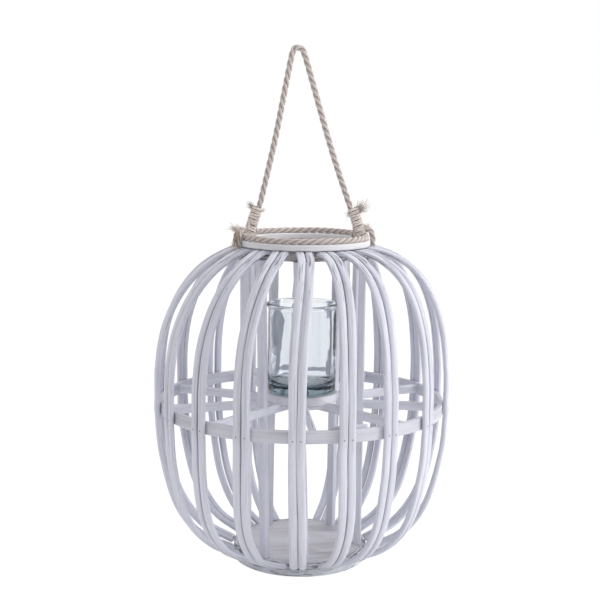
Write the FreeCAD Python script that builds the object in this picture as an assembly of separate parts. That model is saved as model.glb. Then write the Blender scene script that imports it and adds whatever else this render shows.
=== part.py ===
"""Cane hurricane lantern with a rope handle and a loose glass cup.

Millimetres, +Z up, floor at z = 0, lantern axis on Z, front towards -Y.
Angles are turned from the front (-Y) towards the right (+X).
"""
import math
import os

import FreeCAD
import Part
from FreeCAD import Vector

Z_AXIS = Vector(0, 0, 1)
ORIGIN = Vector(0, 0, 0)

# Base: a round board on a hoop
BASE_R = 91.0
BASE_RING_IN_R = 79.0
BASE_RING_H = 9.6
BOARD_T = 8.0
BOARD_TOP = BASE_RING_H + BOARD_T

# Canes, nailed on by hand in pairs all the way round: the angle of each pair
PAIR_ANGLES = (
    -1.4, 16.7, 34.7, 57, 80.5, 104, 122.5, 143, 162.5, 182, 204.5, 221.5, 241.5, 262, 283,
    299.5, 319.5, 338.3,
)
CANE_W = 10.8
CANE_T = 8.5
CANE_PITCH = 11.2
# Centre line of a cane in its own plane, (radius, height) from the neck down;
# level under the top hoop and upright where the middle hoop bears on it
CANE_LINE = (
    (77.9, 424.15), (93, 424.15), (117, 414.9), (147.5, 393), (170.5, 361), (186.5, 317.5),
    (193.6, 268), (194.4, 229), (194.4, 203), (189.2, 150), (170.5, 81.5), (138, 37.5),
    (90.9, 13.3),
)

# Neck: inner ring, top hoop and the rope laid on it
NECK_IN_R = 70.0
NECK_R = 78.0
NECK_Z = 414.0
HOOP_IN_R = 75.0
HOOP_R = 87.0
HOOP_Z = 428.4
HOOP_H = 8.0
HOOP_TOP = HOOP_Z + HOOP_H
RING_ROPE_R = 83.5
RING_ROPE_D = 8.2
RING_RUNS = 28

# Middle hoop, a bent strip with a lapped end
MID_R = 190.2
MID_T = 5.0
MID_Z = 206.5
MID_H = 16.0
LAP_T = 3.0
LAP_RISE = 4.0
LAP_FROM = 11.0
LAP_TO = 26.0

# Inner frame: posts, spokes through them and the shelf on the spokes
POST_ANGLES = (5, 45, 82, 118, 150, 209, 248, 288, 322)
POST_R = 80.0
POST_W = 14.0
POST_T = 13.0
SPOKE_W = 8.0
SPOKE_H = 12.0
SPOKE_Z = 208.5
SPOKE_IN_R = 26.0
SHELF_R = 50.0
SHELF_T = 8.5
SHELF_Z = SPOKE_Z + SPOKE_H
SHELF_TOP = SHELF_Z + SHELF_T

# Glass cup, loose on the shelf
GLASS_Z = SHELF_TOP + 0.3
GLASS_H = 121.0
GLASS_R = 46.0
GLASS_WALL = 3.0
GLASS_FLOOR = 12.0
LIP_R = 49.0
LIP_H = 6.5

# Rope handle: swings about a line at HINGE_Z, in a plane turned HANDLE_TURN
HANDLE_TURN = 2.4
HINGE_Z = 455.0
ROPE_D = 8.4
SHOULDER_Z = 667.0
# Each leg: place of its shoulder in X, slope there (degrees off upright), bow radius
LEFT_LEG = (-20.0, 9.0, 2100.0)
RIGHT_LEG = (2.2, 15.6, 3000.0)
APEX_BEND_R = 8.8
APEX_RUNS = 9
BOW_RUNS = 4
# Rope rounded off below the hinge line: (run along the rope, share of its size)
FOOT_TAPER = ((-3.4, 0.35), (-2.0, 0.8))
EYE_DROP = 1.2
TAIL_GAP = 9.4
TAIL_LEN = 25.0
BIND_FROM = 5.0
BIND_LEN = 18.0
BIND_T = 1.6
BIND_GRIP = 0.1


def turned(shape, angle):
    """The shape turned about the lantern's axis, from the front to the right."""
    return shape.rotated(ORIGIN, Z_AXIS, angle)


def solid_of(faces):
    """A closed solid from its faces, with positive volume."""
    solid = Part.Solid(Part.Shell(faces))
    if solid.Volume < 0:
        solid.reverse()
    return solid


def ring(inner_r, outer_r, z, height):
    """Upright ring of rectangular section."""
    outer = Part.makeCylinder(outer_r, height, Vector(0, 0, z))
    return outer.cut(Part.makeCylinder(inner_r, height, Vector(0, 0, z)))


def skin(loops):
    """Flat faces between each loop of corners and the next one."""
    faces = []
    for low, high in zip(loops, loops[1:]):
        for j in range(len(low)):
            k = (j + 1) % len(low)
            corners = [low[j], low[k], high[k], high[j], low[j]]
            faces.append(Part.Face(Part.makePolygon(corners)))
    return faces


def stick(points, section, place, grow=None, end_lean=None):
    """Straight mitred runs of one section along a flat line of points.

    section lists (across, outward) corners; place(u, across, v) puts a point of
    the line's plane (u, v) into space, at a distance across it. grow scales the
    section at each point, end_lean turns the last end face (radians).
    """
    loops = []
    last = len(points) - 1
    for i, (u, v) in enumerate(points):
        before = points[max(i - 1, 0)]
        after = points[min(i + 1, last)]
        out_angle = math.atan2(after[1] - v, after[0] - u)
        in_angle = math.atan2(v - before[1], u - before[0]) if i else out_angle
        if i == last:
            out_angle = in_angle
        turn = math.remainder(out_angle - in_angle, 2 * math.pi)
        lean = in_angle + turn / 2 + math.pi / 2
        if i == last and end_lean is not None:
            lean = end_lean
        reach = (grow[i] if grow else 1) / math.cos(lean - in_angle - math.pi / 2)
        mitre = (math.cos(lean) * reach, math.sin(lean) * reach)
        wide = grow[i] if grow else 1
        loops.append([place(u + n * mitre[0], t * wide, v + n * mitre[1]) for t, n in section])
    ends = [Part.Face(Part.makePolygon(end + end[:1])) for end in (loops[0], loops[-1])]
    return solid_of(ends + skin(loops))


def polygon(across, deep, sides):
    """Corners of a stretched regular polygon with flats on the deep sides."""
    step = 2 * math.pi / sides
    grow = 1 / math.cos(step / 2) if sides == 8 else 1
    turn = step / 2 if sides == 8 else 0
    flat = math.sin(math.pi / 3) if sides == 6 else 1
    corners = []
    for k in range(sides):
        a = k * step + turn
        corners.append((across / 2 * grow * math.cos(a), deep / 2 * grow * math.sin(a) / flat))
    return corners


def base():
    """The hoop that stands on the floor and the round board on it."""
    return {
        "base_ring": ring(BASE_RING_IN_R, BASE_R, 0, BASE_RING_H),
        "base_board": Part.makeCylinder(BASE_R, BOARD_T, Vector(0, 0, BASE_RING_H)),
    }


def rope_ring():
    """Rope laid round on the top hoop: a closed ring of short straight runs."""
    loops = []
    for k in range(RING_RUNS + 1):
        a = 2 * math.pi * (k % RING_RUNS) / RING_RUNS
        loops.append([Vector((RING_ROPE_R + across) * math.cos(a),
                             (RING_ROPE_R + across) * math.sin(a),
                             HOOP_TOP + RING_ROPE_D / 2 + up)
                      for across, up in polygon(RING_ROPE_D, RING_ROPE_D, 6)])
    return solid_of(skin(loops))


def neck():
    """Inner ring, top hoop resting on the cane ends, rope laid on the hoop."""
    return {
        "neck_ring": ring(NECK_IN_R, NECK_R, NECK_Z, HOOP_Z - NECK_Z),
        "top_hoop": ring(HOOP_IN_R, HOOP_R, HOOP_Z, HOOP_H),
        "rope_ring": rope_ring(),
    }


def mid_hoop():
    """Bent strip round the widest part; its end laps inside and stands proud."""
    strip = ring(MID_R - MID_T, MID_R, MID_Z, MID_H)
    lap = ring(MID_R - MID_T - LAP_T, MID_R - MID_T + 1, MID_Z + LAP_RISE, MID_H)
    reach = 2 * MID_R
    wedge = [ORIGIN]
    for angle in (LAP_FROM, LAP_TO):
        a = math.radians(angle)
        wedge.append(Vector(reach * math.sin(a), -reach * math.cos(a), 0))
    cutter = Part.Face(Part.makePolygon(wedge + wedge[:1])).extrude(Vector(0, 0, 2 * MID_Z))
    lap = lap.common(cutter)
    lap = lap.cut(ring(MID_R - MID_T, MID_R, MID_Z + MID_H, LAP_RISE))
    return strip.fuse(lap).removeSplitter()


def cane_pair():
    """Two canes side by side, level ends against the neck and the base."""
    canes = []
    for side in (-0.5, 0.5):
        canes.append(stick(CANE_LINE, polygon(CANE_W, CANE_T, 6),
                           lambda u, t, v: Vector(t + side * CANE_PITCH, -u, v),
                           end_lean=-math.pi / 2))
    return Part.makeCompound(canes)


def spoke():
    """Bar on edge from the middle hoop in under the shelf."""
    bar = Part.makeBox(SPOKE_W, MID_R - SPOKE_IN_R, SPOKE_H, Vector(-SPOKE_W / 2, -MID_R, SPOKE_Z))
    return bar.common(Part.makeCylinder(MID_R - MID_T, SPOKE_H, Vector(0, 0, SPOKE_Z)))


def post():
    """Upright batten from the base board to the neck ring, mortised for its spoke."""
    batten = Part.makeBox(POST_W, POST_T, NECK_Z - BOARD_TOP,
                          Vector(-POST_W / 2, -POST_R - POST_T / 2, BOARD_TOP))
    return batten.cut(spoke())


def glass_cup():
    """Tumbler with a thick floor and a rolled lip, turned from one profile."""
    inner = GLASS_R - GLASS_WALL
    top = GLASS_Z + GLASS_H
    profile = [
        (0, GLASS_Z), (GLASS_R - 3, GLASS_Z), (GLASS_R, GLASS_Z + 3), (GLASS_R, top - LIP_H),
        (LIP_R, top - LIP_H / 2), (LIP_R - 2, top), (inner, top),
        (inner, GLASS_Z + GLASS_FLOOR), (0, GLASS_Z + GLASS_FLOOR),
    ]
    corners = [Vector(r, 0, z) for r, z in profile]
    face = Part.Face(Part.makePolygon(corners + corners[:1]))
    return face.revolve(ORIGIN, Z_AXIS, 360)


class Leg:
    """One leg of the handle: a shoulder, a straight run above, a bow below."""

    def __init__(self, side, x, slope, bow):
        self.side = side
        self.slope = math.radians(slope)
        self.shoulder = (x, SHOULDER_Z)
        self.up = (-side * math.sin(self.slope), math.cos(self.slope))
        self.bow = bow
        self.centre = (x + side * bow * math.cos(self.slope),
                       SHOULDER_Z + bow * math.sin(self.slope))
        # The bow goes down, leaning out, until it meets the hinge line
        self.foot_lean = math.asin((self.centre[1] - HINGE_Z) / bow)
        self.foot_x = self.at(self.foot_lean)[0]
        self.length = (self.foot_lean - self.slope) * bow
        print("handle leg bend radius", bow, "mm, foot at", round(self.foot_x, 1))

    def at(self, lean):
        """Point of the bow where the rope leans so far off upright."""
        return (self.centre[0] - self.side * self.bow * math.cos(lean),
                self.centre[1] - self.bow * math.sin(lean))

    def line(self):
        """Points from the rounded foot up the bow to the shoulder."""
        leans = [self.foot_lean + (self.slope - self.foot_lean) * k / BOW_RUNS
                 for k in range(BOW_RUNS + 1)]
        bow = [self.at(lean) for lean in leans]
        run_x, run_z = bow[1][0] - bow[0][0], bow[1][1] - bow[0][1]
        run = math.hypot(run_x, run_z)
        foot = [(bow[0][0] + run_x / run * d, bow[0][1] + run_z / run * d) for d, _ in FOOT_TAPER]
        return foot + bow


def handle_rope(left, right):
    """Plain rope: bow, straight run, tight top bend, run and bow."""
    # The straight runs meet at a peak; the bend is tangent to both below it
    gap = (right.shoulder[0] - left.shoulder[0], right.shoulder[1] - left.shoulder[1])
    cross = left.up[0] * right.up[1] - left.up[1] * right.up[0]
    reach = (gap[0] * right.up[1] - gap[1] * right.up[0]) / cross
    peak = (left.shoulder[0] + left.up[0] * reach, left.shoulder[1] + left.up[1] * reach)
    half = (left.slope + right.slope) / 2
    back = APEX_BEND_R / math.tan(half)
    tilt = (right.slope - left.slope) / 2
    drop = APEX_BEND_R / math.sin(half)
    middle = (peak[0] + drop * math.sin(tilt), peak[1] - drop * math.cos(tilt))
    first = math.pi - left.slope
    turn = math.pi - 2 * half
    bend = []
    for k in range(APEX_RUNS + 1):
        a = first - turn * k / APEX_RUNS
        bend.append((middle[0] + APEX_BEND_R * math.cos(a), middle[1] + APEX_BEND_R * math.sin(a)))
    length = left.length + right.length + 2 * (reach - back) + turn * APEX_BEND_R
    print("handle top bend radius", APEX_BEND_R, "mm, length", round(length, 1), "mm")
    points = left.line() + bend + right.line()[::-1]
    foot = [size for _, size in FOOT_TAPER]
    grow = foot + [1.0] * (len(points) - 2 * len(foot)) + foot[::-1]
    rope = stick(points, polygon(ROPE_D, ROPE_D, 8), lambda u, t, v: Vector(u, t, v), grow)
    section = 8 * math.tan(math.pi / 8) * (ROPE_D / 2) ** 2
    print("rope volume over section x length", round(rope.Volume / section / length, 3))
    return rope


def beside(leg, out, run):
    """Point of the handle plane beside a leg's foot, (outwards, height)."""
    a = leg.foot_lean
    u = abs(leg.foot_x) + out * math.cos(a) - run * math.sin(a)
    return (u, HINGE_Z + out * math.sin(a) + run * math.cos(a))


def side_place(leg):
    """Placer for pieces beside one foot of the handle; u runs outwards."""
    return lambda u, t, v: Vector(leg.side * u, t, v)


def tail(leg):
    """Rope end folded back beside the leg, rounded off at the hinge line."""
    shift = -TAIL_GAP * math.tan(leg.foot_lean)
    runs = FOOT_TAPER + ((0.0, 1.0), (TAIL_LEN, 1.0))
    line = [beside(leg, TAIL_GAP, shift + run) for run, _ in runs]
    return stick(line, polygon(ROPE_D, ROPE_D, 8), side_place(leg), [size for _, size in runs])


def binding(leg):
    """Hollow sleeve of twine gripping a leg and its folded end."""
    line = [beside(leg, TAIL_GAP / 2, run) for run in (BIND_FROM, BIND_FROM + BIND_LEN)]
    shells = []
    for half in (ROPE_D / 2 + BIND_T, ROPE_D / 2 - BIND_GRIP):
        section = []
        for k in range(12):
            a = 2 * math.pi * (k + 0.5) / 12
            shift = math.copysign(TAIL_GAP / 2, math.sin(a))
            grow = half / math.cos(math.pi / 12)
            section.append((grow * math.cos(a), grow * math.sin(a) + shift))
        shells.append(stick(line, section, side_place(leg)))
    return shells[0].cut(shells[1])


def rope_eye(leg):
    """Rope turned round hoop and neck ring between two pairs of canes."""
    foot = abs(leg.foot_x)
    inside = NECK_IN_R - ROPE_D / 2 - 0.7
    outside = HOOP_R + ROPE_D / 2 - 0.5
    under = NECK_Z - ROPE_D / 2 - 0.7
    stop = HINGE_Z - ROPE_D / 2 - EYE_DROP
    line = [
        (foot, stop), (foot - 1, stop - 7), (inside, stop - 14), (inside, under + 4.5),
        (inside + 1.4, under + 1.4), (inside + 4.5, under), (outside - 4.5, under),
        (outside - 1.4, under + 1.4), (outside, under + 4.5), (outside, HOOP_TOP + 2),
        (outside - 1.2, HOOP_TOP + 7), (outside - 3.8, stop - 3.8), (foot + TAIL_GAP + 3, stop - 1.0),
    ]
    return stick(line, polygon(ROPE_D - 0.4, ROPE_D - 0.4, 8), side_place(leg))


def build():
    """Every node of the lantern by name."""
    nodes = dict(base())
    nodes.update(neck())
    nodes["mid_hoop"] = mid_hoop()

    pair = cane_pair()
    for k, angle in enumerate(PAIR_ANGLES):
        nodes["rib_pair_%02d" % (k + 1)] = turned(pair, angle)

    for k, angle in enumerate(POST_ANGLES):
        nodes["post_%d" % (k + 1)] = turned(post(), angle)
        nodes["spoke_%d" % (k + 1)] = turned(spoke(), angle)
    nodes["shelf_board"] = Part.makeCylinder(SHELF_R, SHELF_T, Vector(0, 0, SHELF_Z))
    nodes["glass_cup"] = glass_cup()

    left = Leg(-1, *LEFT_LEG)
    right = Leg(1, *RIGHT_LEG)
    handle = {"handle_rope": handle_rope(left, right)}
    for name, leg in (("left", left), ("right", right)):
        handle[name + "_rope_tail"] = tail(leg)
        handle[name + "_binding"] = binding(leg)
        handle[name + "_rope_eye"] = rope_eye(leg)
    for name, shape in handle.items():
        nodes[name] = turned(shape, HANDLE_TURN)
    for name in ("left_rope_eye", "right_rope_eye"):
        nodes[name] = nodes[name].cut(nodes["top_hoop"]).cut(nodes["rope_ring"])
    return nodes


os.makedirs("parts", exist_ok=True)
for node, shape in build().items():
    shape.exportStep("parts/%s.step" % node)
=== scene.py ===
import bpy
import numpy as np
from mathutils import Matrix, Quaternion, Vector


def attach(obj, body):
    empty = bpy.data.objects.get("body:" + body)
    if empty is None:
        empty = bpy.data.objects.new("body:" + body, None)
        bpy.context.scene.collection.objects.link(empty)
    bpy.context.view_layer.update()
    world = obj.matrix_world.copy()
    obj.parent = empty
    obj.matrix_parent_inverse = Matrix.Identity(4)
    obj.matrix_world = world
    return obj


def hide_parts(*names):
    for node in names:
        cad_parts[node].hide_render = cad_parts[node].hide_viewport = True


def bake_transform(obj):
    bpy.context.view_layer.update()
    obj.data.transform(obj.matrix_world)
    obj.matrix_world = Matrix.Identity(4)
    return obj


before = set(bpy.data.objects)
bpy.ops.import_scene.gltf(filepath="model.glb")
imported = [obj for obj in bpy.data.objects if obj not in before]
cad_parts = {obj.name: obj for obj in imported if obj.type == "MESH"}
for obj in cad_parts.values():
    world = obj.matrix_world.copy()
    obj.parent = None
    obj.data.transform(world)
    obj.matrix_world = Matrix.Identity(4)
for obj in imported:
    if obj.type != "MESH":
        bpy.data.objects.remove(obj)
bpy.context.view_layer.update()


# Base: a sawn wooden hoop stands on the floor and carries a round board, both brushed with a
# thin white wash. The hoop has gone grey where feet and damp have rubbed the wash away.
BASE_R = 91.0
BASE_RING_IN_R = 79.0
BASE_RING_H = 9.6
BOARD_T = 8.0
BOARD_TOP = BASE_RING_H + BOARD_T

# Every sway, warp and stray fibre below is drawn from this, so each run gives the same lantern
chance = np.random.default_rng(41)


def linear(code):
    """sRGB hex to linear colour: s / 12.92 near black, ((s + 0.055) / 1.055) ^ 2.4 above."""
    s = np.array([int(code[k:k + 2], 16) for k in (1, 3, 5)]) / 255
    return (*np.where(s <= 0.04045, s / 12.92, ((s + 0.055) / 1.055) ** 2.4), 1.0)


def add(tree, kind, inputs=None, **settings):
    """Adds one shader node; inputs gives each of its sockets a value or a link."""
    made = tree.nodes.new("ShaderNode" + kind)
    for key, value in settings.items():
        setattr(made, key, value)
    for key, value in (inputs or {}).items():
        if isinstance(value, bpy.types.NodeSocket):
            tree.links.new(value, made.inputs[key])
        else:
            made.inputs[key].default_value = value
    return made


def washed_wood(name, wash, grey, bare, grain_mm, patch_mm, worn=0.0, rough=0.62, board=None, rim=None,
                patchier_between=None, girth_mm=None):
    """Thin matt paint brushed on bare wood: chalky, streaked with the grain and worn in spots.

    Grain is noise drawn out along the piece, grain_mm = (length, width) of a streak;
    the wash lies thicker in some places than others, and is worn through where a second noise,
    patch_mm long and wide, passes a threshold that worn lowers. board is the angle by which
    a board's grain is turned on Object coordinates; rim is the radius in metres of a board
    whose knocked, damp edge is rubbed through in streaks along it. patchier_between gives two
    heights in metres, between which that second noise rises, so that the bare colour shows in
    more patches at the second. girth_mm is the girth of a cane, darker in places along v = 0,
    where it lies against its neighbour: bare wood out of the brush's reach, with painted shade
    of the gap.
    """
    made = bpy.data.materials.new(name)
    made.use_nodes = True
    tree = made.node_tree
    shader = tree.nodes["Principled BSDF"]
    place = add(tree, "TexCoord").outputs["Object"]
    if board is None:
        lie = add(tree, "UVMap", uv_map="lay").outputs["UV"]
    else:
        lie = add(tree, "Mapping", {"Vector": place, "Rotation": (0, 0, board)}).outputs["Vector"]
    # Fine streaks of grain, broader places where the wash is sparse, and the wear's patches
    long, wide = 1000 / grain_mm[0], 1000 / grain_mm[1]
    fine = add(tree, "Mapping", {"Vector": lie, "Scale": (long, wide, wide)})
    streak = add(tree, "TexNoise", {"Vector": fine.outputs[0], "Scale": 1.0, "Detail": 5.0,
                                    "Roughness": 0.6, "Distortion": 0.4})
    broad = add(tree, "Mapping", {"Vector": lie, "Scale": (long * 0.5, wide * 0.14, wide * 0.14)})
    sparse = add(tree, "TexNoise", {"Vector": broad.outputs[0], "Scale": 1.0, "Detail": 2.0})
    size = (1000 / patch_mm[0], 1000 / patch_mm[1], 1000 / patch_mm[1])
    patch = add(tree, "Mapping", {"Vector": lie, "Scale": size})
    rubbed = add(tree, "TexNoise", {"Vector": patch.outputs[0], "Scale": 1.0, "Detail": 6.0,
                                    "Roughness": 0.66})
    # The wood greys the wash where a streak crosses a sparse place
    show = add(tree, "Math", {0: streak.outputs[0], 1: sparse.outputs[0]}, operation="MULTIPLY")
    thin = add(tree, "MapRange", {"Value": show.outputs[0], "From Min": 0.2, "From Max": 0.42})
    coat = add(tree, "Mix", {0: thin.outputs[0], 6: linear(wash), 7: linear(grey)}, data_type="RGBA")
    patch_level = rubbed.outputs[0]
    # From the first height to the second the patches of the bare colour come on more and more
    if patchier_between:
        height = add(tree, "SeparateXYZ", {0: place}).outputs["Z"]
        more = add(tree, "MapRange", {"Value": height, "From Min": patchier_between[0], "From Max": patchier_between[1],
                                      "To Max": 0.15})
        patch_level = add(tree, "Math", {0: patch_level, 1: more.outputs[0]}, operation="ADD").outputs[0]
    wear_and_gap_shade = add(tree, "MapRange", {"Value": patch_level, "From Min": 0.74 - worn, "From Max": 0.84 - worn})
    if girth_mm:
        # Darker where a cane faces its neighbour: bare wood out of the brush's reach, with painted
        # shade of the gap, and more of it in sparse places
        beside = add(tree, "SeparateXYZ", {0: lie}).outputs["Y"]
        turned = add(tree, "Math", {0: beside, 1: 2000 * np.pi / girth_mm}, operation="MULTIPLY")
        facing = add(tree, "Math", {0: turned.outputs[0]}, operation="COSINE")
        beside_neighbour = add(tree, "MapRange", {"Value": facing.outputs[0], "From Min": 0.88, "From Max": 0.99})
        uneven = add(tree, "MapRange", {"Value": sparse.outputs[0], "From Min": 0.4, "From Max": 0.6,
                                        "To Min": 0.15, "To Max": 0.72})
        unpainted_and_gap_shade = add(tree, "Math", {0: beside_neighbour.outputs[0], 1: uneven.outputs[0]}, operation="MULTIPLY")
        wear_and_gap_shade = add(tree, "Math", {0: wear_and_gap_shade.outputs[0], 1: unpainted_and_gap_shade.outputs[0]}, operation="MAXIMUM")
    if rim:
        # Rubs of this width and length, which come on between two distances from the rim
        rub_mm = (2.381, 16.667)
        band_mm = (14, 2)
        flat = add(tree, "VectorMath", {0: place, 1: (1, 1, 0)}, operation="MULTIPLY")
        far = add(tree, "VectorMath", {0: flat.outputs[0]}, operation="LENGTH")
        edge = add(tree, "MapRange", {"Value": far.outputs["Value"], "From Min": rim - band_mm[0] / 1000,
                                      "From Max": rim - band_mm[1] / 1000})
        spread = add(tree, "UVMap", uv_map="lay").outputs["UV"]
        along = add(tree, "Mapping", {"Vector": spread, "Scale": (1000 / rub_mm[0], 1000 / rub_mm[1], 1)})
        scuff = add(tree, "TexNoise", {"Vector": along.outputs[0], "Scale": 1.0, "Detail": 4.0})
        rubs = add(tree, "MapRange", {"Value": scuff.outputs[0], "From Min": 0.44, "From Max": 0.58})
        hurt = add(tree, "Math", {0: rubs.outputs[0], 1: edge.outputs[0]}, operation="MULTIPLY")
        wear_and_gap_shade = add(tree, "Math", {0: wear_and_gap_shade.outputs[0], 1: hurt.outputs[0]}, operation="MAXIMUM")
    skin = add(tree, "Mix", {0: wear_and_gap_shade.outputs[0], 6: coat.outputs[2], 7: linear(bare)}, data_type="RGBA")
    tree.links.new(skin.outputs[2], shader.inputs["Base Color"])
    # Raised grain is drier, and bare wood lies lower than the wash
    matt = add(tree, "MapRange", {"Value": streak.outputs[0], "From Min": 0.3, "From Max": 0.7,
                                  "To Min": rough - 0.08, "To Max": rough + 0.12})
    tree.links.new(matt.outputs[0], shader.inputs["Roughness"])
    depth = add(tree, "Math", {0: streak.outputs[0], 1: wear_and_gap_shade.outputs[0]}, operation="SUBTRACT")
    bump = add(tree, "Bump", {"Height": depth.outputs[0], "Strength": 0.35, "Distance": 0.0005})
    tree.links.new(bump.outputs[0], shader.inputs["Normal"])
    return made


def bar_section(wide, high, edge):
    """Outline of a bar, a row of (across, up) points: a quarter circle of radius edge at each
    corner, with one more point on the flat at each side of it."""
    turn = np.radians(90.0 * np.arange(4))[:, None]
    sweep = turn + np.radians([0, 0, 30, 60, 90, 90])
    centre = np.array([[1, 1], [-1, 1], [-1, -1], [1, -1]]) * (wide / 2 - edge, high / 2 - edge)
    slide = np.array([-0.6, 0, 0, 0, 0, 0.6]) * edge
    across = centre[:, :1] + edge * np.cos(sweep) - slide * np.sin(sweep)
    up = centre[:, 1:] + edge * np.sin(sweep) + slide * np.cos(sweep)
    return np.stack([across.ravel(), up.ravel()], axis=1)


def carried(section, path, across, up, size=None):
    """Section carried along a path: point = path + x * across + y * up, x and y times size. The
    section is one outline, or one for each place of the path."""
    size = np.ones(len(path)) if size is None else size
    x = size[:, None] * section[..., 0]
    y = size[:, None] * section[..., 1]
    return path[:, None] + x[..., None] * across[:, None] + y[..., None] * up[:, None]


def piece(name, grids, finish, slot, body, *replaced, joined=False):
    """A closed piece from grids of points in mm, each rings x points round x 3.

    Quads join each point to the next one in its ring and to the next ring. A ring closes
    on itself; the first and last are covered by a fan to their middle, or meet where
    joined. UV "lay" runs along the grid and round it in metres. It starts further on for
    each next grid, so that no two look alike. Faces are turned so that the volume they
    enclose is positive.
    """
    further = 0.737
    points, corners, sizes, lays, first = [], [], [], [], 0
    for k, grid in enumerate(grids):
        rings, count = grid.shape[:2]
        i = np.arange(rings if joined else rings - 1)[:, None] + np.zeros((1, count), int)
        j = np.arange(count) + np.zeros_like(i)
        after, beside = (i + 1) % rings, (j + 1) % count
        quads = np.stack([i * count + j, after * count + j, after * count + beside,
                          i * count + beside], axis=-1).reshape(-1, 4)
        line = np.concatenate([grid[:, 0], grid[:1, 0]])
        widest = grid[np.argmax(np.ptp(grid, axis=1).sum(1))]
        loop = np.concatenate([widest, widest[:1]])
        u = np.r_[0, np.cumsum(np.linalg.norm(np.diff(line, axis=0), axis=1))] / 1000 + further * k
        v = np.r_[0, np.cumsum(np.linalg.norm(np.diff(loop, axis=0), axis=1))] / 1000
        lay = np.stack([np.stack([u[i], u[i + 1], u[i + 1], u[i]], -1),
                        np.stack([v[j], v[j], v[j + 1], v[j + 1]], -1)], -1).reshape(-1, 4, 2)
        cover = np.zeros((0, 3), int)
        cover_lay = np.zeros((0, 3, 2))
        flat = grid.reshape(-1, 3)
        if not joined:
            step = np.arange(count)
            end = (rings - 1) * count
            cover = np.concatenate([
                np.stack([np.full(count, rings * count), step, (step + 1) % count], 1),
                np.stack([np.full(count, rings * count + 1), end + (step + 1) % count, end + step], 1)])
            flat = np.concatenate([flat, grid[:1].mean(1), grid[-1:].mean(1)])
            side = np.stack([v[step], v[step], v[step + 1]], 1)
            cover_lay = np.concatenate([np.stack([np.full_like(side, at), side], -1)
                                        for at in (u[0], u[rings - 1])])
        a, b, c, d = (flat[quads[:, n]] for n in range(4))
        volume = (a * np.cross(b, c)).sum() + (a * np.cross(c, d)).sum()
        if len(cover):
            volume += (flat[cover[:, 0]] * np.cross(flat[cover[:, 1]], flat[cover[:, 2]])).sum()
        way = 1 if volume > 0 else -1
        corners += [quads[:, ::way].ravel() + first, cover[:, ::way].ravel() + first]
        lays += [lay[:, ::way].reshape(-1, 2), cover_lay[:, ::way].reshape(-1, 2)]
        sizes += [np.full(len(quads), 4), np.full(len(cover), 3)]
        points.append(flat)
        first += len(flat)
    points, corners = np.concatenate(points), np.concatenate(corners)
    sizes, lays = np.concatenate(sizes), np.concatenate(lays)
    mesh = bpy.data.meshes.new(name)
    mesh.vertices.add(len(points))
    mesh.vertices.foreach_set("co", (points / 1000).astype(np.float32).ravel())
    mesh.loops.add(len(corners))
    mesh.loops.foreach_set("vertex_index", corners.astype(np.int32))
    mesh.polygons.add(len(sizes))
    mesh.polygons.foreach_set("loop_start", (np.cumsum(sizes) - sizes).astype(np.int32))
    mesh.polygons.foreach_set("use_smooth", np.ones(len(sizes), bool))
    mesh.update(calc_edges=True)
    mesh.uv_layers.new(name="lay").data.foreach_set("uv", lays.astype(np.float32).ravel())
    mesh.materials.append(finish)
    made = bpy.data.objects.new(name, mesh)
    bpy.context.scene.collection.objects.link(made)
    if body:
        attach(made, body)
    if replaced:
        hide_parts(*replaced)
    return made


def hoop(inner, outer, low, high, edge, wander=0.0, count=240):
    """A hoop about the lantern's axis: a bar section turned round it, its middle radius and
    height swaying by wander as a sum of two sine waves, as bent wood does."""
    turn = np.linspace(0, 2 * np.pi, count, endpoint=False)
    phase = chance.uniform(0, 6.3, 4)
    sway = wander * (np.sin(3 * turn + phase[0]) + 0.6 * np.sin(7 * turn + phase[1]))
    lift = wander * (np.sin(4 * turn + phase[2]) + 0.5 * np.sin(9 * turn + phase[3]))
    out = np.stack([np.sin(turn), -np.cos(turn), 0 * turn], 1)
    up = np.array([[0.0, 0.0, 1.0]]) + 0 * out
    path = out * ((inner + outer) / 2 + sway)[:, None] + up * ((low + high) / 2 + lift)[:, None]
    return carried(bar_section(outer - inner, high - low, edge), path, out, up)


# Limewash worn through to grey wood in short thin streaks
grey_hoop = washed_wood("worn_limewashed_hoop", "#e9ebf3", "#c0c2cc", "#5c5e68",
                        grain_mm=(30, 2.6), patch_mm=(24, 1.7), worn=0.21)
piece("base_hoop", [hoop(BASE_RING_IN_R, BASE_R, 0, BASE_RING_H, edge=1.0, count=200)],
      grey_hoop, "white_wood", "lantern", "base_ring", joined=True)


def round_board(radius, low, high, edge):
    """A sawn disc: a half section turned about the axis, with quarter-round edges; the first
    and last rings lie near the middle of its two faces."""
    quarter = np.radians([0, 30, 60, 90])
    rim = radius - edge
    hub = 3
    r = np.r_[hub, rim * 0.5, rim - edge, rim + edge * np.sin(quarter), rim + edge * np.cos(quarter),
              rim - edge, rim * 0.5, hub]
    z = np.r_[low, low, low, low + edge - edge * np.cos(quarter), high - edge + edge * np.sin(quarter),
              high, high, high]
    turn = np.linspace(0, 2 * np.pi, 144, endpoint=False)
    return np.stack([r[:, None] * np.sin(turn), -r[:, None] * np.cos(turn), z[:, None] + 0 * turn], -1)


# Limewash on a planed board: cool white with broad faint grain, and grey rubs along the rim
rubbed_board = washed_wood("limewashed_pine_board_rubbed_rim", "#d8d7dd", "#bdbabd", "#7a7b84",
                           grain_mm=(130, 11.0), patch_mm=(100, 40), rough=0.7, board=-0.16,
                           rim=BASE_R / 1000)
piece("base_board_disc", [round_board(BASE_R, BASE_RING_H, BOARD_TOP, edge=1.2)],
      rubbed_board, "board_wood", "lantern", "base_board")


# Inner frame: upright pine battens nailed between the base board and a bent ring at the neck,
# all brushed with the same white wash, with painted shade on the ring. The neck went on a little twisted,
# so they all lean.
POST_ANGLES = (5, 45, 82, 118, 150, 209, 248, 288, 322)
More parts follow.
